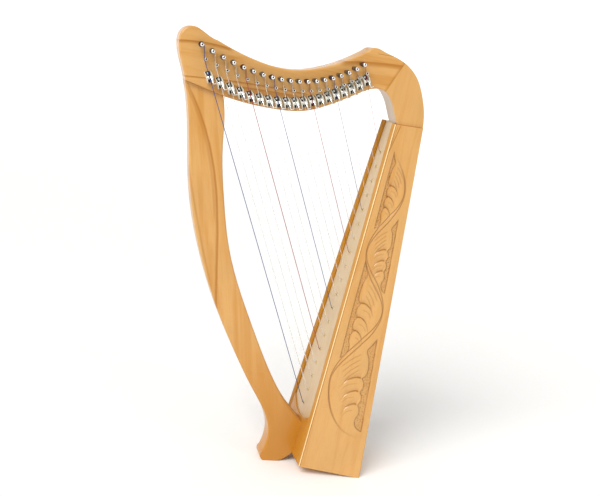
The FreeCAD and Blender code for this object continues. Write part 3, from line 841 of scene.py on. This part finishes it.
def tidy_turned(bm):
    bmesh.ops.remove_doubles(bm, verts=bm.verts[:], dist=0.001 * MM)
    bmesh.ops.recalc_face_normals(bm, faces=bm.faces[:])


joints = {j["name"]: j for j in frame["joints"]}
STRING_COUNT = 19
RED = (4, 11, 18)
BLUE = (0, 7, 14)
PIN_RADIUS = 3.2 * MM
PIN_TIP = 22.0 * MM
PIN_TAIL = 46.0 * MM
KEY_SIDE = 4.4 * MM
KEY_LENGTH = 12.0 * MM
DIMPLE_SHARE = 0.35
BASS_THICK = 1.2 * MM
THICK_STEP = 0.033 * MM
OUTWARD = Vector((0, -1, 0))
STRING_OUT = 12.5 * MM
STRING_GAP = 0.3 * MM
TURNS = 4


def string_radius(index):
    return (BASS_THICK - THICK_STEP * index) / 2


def string_finish(index):
    if index in RED:
        return "red_nylon", wound_red_painted_shade
    if index in BLUE:
        return "blue_nylon", wound_blue_painted_shade
    return "clear_nylon", wound_clear_painted_shade


# %% Tuning pins
def tuning_pin(number, centre):
    bm = bmesh.new()
    r, tip = PIN_RADIUS, PIN_TIP
    profile = [(0, -PIN_TAIL), (r, -PIN_TAIL), (r, tip - 1.5 * MM), (0.93 * r, tip - 0.8 * MM),
               (0.75 * r, tip - 0.3 * MM), (0.5 * r, tip - 0.08 * MM), (0.36 * r, tip),
               (0.30 * r, tip - 0.9 * MM), (0, tip - 1.1 * MM)]
    spun(bm, profile, centre, OUTWARD)
    key = bmesh.ops.create_cube(bm, size=1.0)["verts"]
    bmesh.ops.scale(bm, vec=(KEY_SIDE, KEY_LENGTH, KEY_SIDE), verts=key)
    bmesh.ops.translate(bm, vec=centre - OUTWARD * (PIN_TAIL + KEY_LENGTH / 2), verts=key)
    key_edges = list({e for v in key for e in v.link_edges})
    bmesh.ops.bevel(bm, geom=key_edges, offset=0.35 * MM, offset_type="OFFSET", segments=2,
                    profile=0.5, affect="EDGES", clamp_overlap=True, material=-1)
    tidy_turned(bm)
    end_line = centre.y - tip + 1.2 * MM
    for face in bm.faces:
        middle = face.calc_center_median()
        from_axis = math.hypot(middle.x - centre.x, middle.z - centre.z)
        if middle.y < end_line:
            # Painted shade: the small dimple in the pin's end gets the dark metal.
            face.material_index = 2 if from_axis < DIMPLE_SHARE * r else 1
    return new_piece("turned_pin_" + number, bm, "pin_" + number,
                     [pin_steel, polished_end, dark_metal], ["tuning_pin_" + number])


def winding(number, index, centre):
    thick = string_radius(index)
    first = STRING_OUT - thick - STRING_GAP - thick
    bm = bmesh.new()
    ring = bmesh.ops.create_circle(bm, segments=8, radius=thick * 0.98)["verts"]
    bmesh.ops.translate(bm, vec=(PIN_RADIUS + thick * 1.02, 0, 0), verts=ring)
    bmesh.ops.translate(bm, vec=centre + OUTWARD * first, verts=ring)
    edges = list({e for v in ring for e in v.link_edges})
    steps = 22 * TURNS
    drop = -OUTWARD * (2 * thick * (TURNS - 1) / steps)
    bmesh.ops.spin(bm, geom=ring + edges, cent=centre, axis=(0, 1, 0), dvec=drop,
                   angle=2 * math.pi * TURNS, steps=steps, use_merge=False)
    bmesh.ops.holes_fill(bm, edges=[e for e in bm.edges if e.is_boundary])
    bmesh.ops.recalc_face_normals(bm, faces=bm.faces[:])
    slot_name, material = string_finish(index)
    return new_piece("winding_" + number, bm, "pin_" + number, [material])


for index in range(STRING_COUNT):
    number = "%02d" % (index + 1)
    centre = Vector(joints["pin_turn_" + number]["pos_m"])
    tuning_pin(number, centre)
    winding(number, index, centre)
print("pins and windings:", STRING_COUNT)


# %% [markdown]
# ## Bridge pins
# Under every tuning pin a small grooved pin sets where the string starts to sound. It is turned
# like a tuning pin, with a groove for the string and a socket in its end that gets painted shade.

# %% Bridge pins
NECK_FACE = -32.0 * MM
SOCKET_RADIUS = 1.28 * MM
SOCKET_END = 14.5 * MM


def bridge_places():
    """The centre of every bridge pin, from its own solid in the ready made part."""
    bm = bmesh.new()
    bm.from_mesh(nodes["bridge_pins"].data)
    bmesh.ops.remove_doubles(bm, verts=bm.verts[:], dist=0.002 * MM)
    left = set(bm.verts)
    places = []
    while left:
        island, queue = [], [left.pop()]
        while queue:
            v = queue.pop()
            island.append(v.co.copy())
            for edge in v.link_edges:
                other = edge.other_vert(v)
                if other in left:
                    left.remove(other)
                    queue.append(other)
        low = [min(c[i] for c in island) for i in range(3)]
        high = [max(c[i] for c in island) for i in range(3)]
        places.append(Vector(((low[0] + high[0]) / 2, NECK_FACE, (low[2] + high[2]) / 2)))
    bm.free()
    return sorted(places, key=lambda place: place.x)


def bridge_pin_pieces(places):
    bm = bmesh.new()
    profile = [(0, -13), (1.5, -13), (1.5, 0), (2.2, 0.0), (2.4, 0.2), (2.4, 9.4), (2.2, 10.3),
               (1.75, 11.2), (1.7, 11.7), (1.7, 13.1), (1.9, 13.7), (2.4, 14.3), (2.5, 14.7),
               (2.5, 15.3), (2.35, 15.8), (2.0, 16.0), (1.35, 16.0), (1.2, 15.8), (1.15, 14.8),
               (0, 14.7)]
    for place in places:
        spun(bm, [(r * MM, a * MM) for r, a in profile], place, OUTWARD, 24)
    tidy_turned(bm)
    for face in bm.faces:
        centre = face.calc_center_median()
        near = min(places, key=lambda p: (p.x - centre.x) ** 2 + (p.z - centre.z) ** 2)
        reach = math.hypot(near.x - centre.x, near.z - centre.z)
        # Painted shade: the socket in the pin's end gets the dark metal.
        if reach < SOCKET_RADIUS and centre.y < NECK_FACE - SOCKET_END:
            face.material_index = 1
    return new_piece("turned_bridge_pins", bm, "frame", [nickel, dark_metal],
                     ["bridge_pins"])


places = bridge_places()
bridge_pin_pieces(places)
print("bridge pins:", len(places))


# %% [markdown]
# ## Sharping levers
# A lever turns about its axle in a small bracket and presses on the string. The brackets and the
# lever arms are stamped metal with slightly rounded edges. Each arm rides on its own body. The
# floor of a bracket lies deep between its cheeks, where shade falls, so the faces close to the
# neck get the dark metal as painted shade.

# %% Levers
PLATE_FACE = -34.5 * MM
bracket_bm = softened("lever_brackets", 0.18 * MM)
for face in bracket_bm.faces:
    # Painted shade: the bracket floor deep between the cheeks gets the dark metal.
    if face.normal.y < -0.7 and face.calc_center_median().y > PLATE_FACE:
        face.material_index = 1
new_piece("softened_lever_brackets", bracket_bm, "frame", [bracket_metal, dark_metal],
          ["lever_brackets"])
new_piece("softened_lever_screws", softened("lever_screws", 0.1 * MM), "frame",
          [nickel], ["lever_screws"])
for index in range(STRING_COUNT):
    number = "%02d" % (index + 1)
    arm = new_piece("lever_arm_" + number, softened("lever_" + number, 0.22 * MM),
                    "lever_" + number, [nickel], ["lever_" + number])
print("levers:", STRING_COUNT, "arm faces", len(arm.data.polygons))
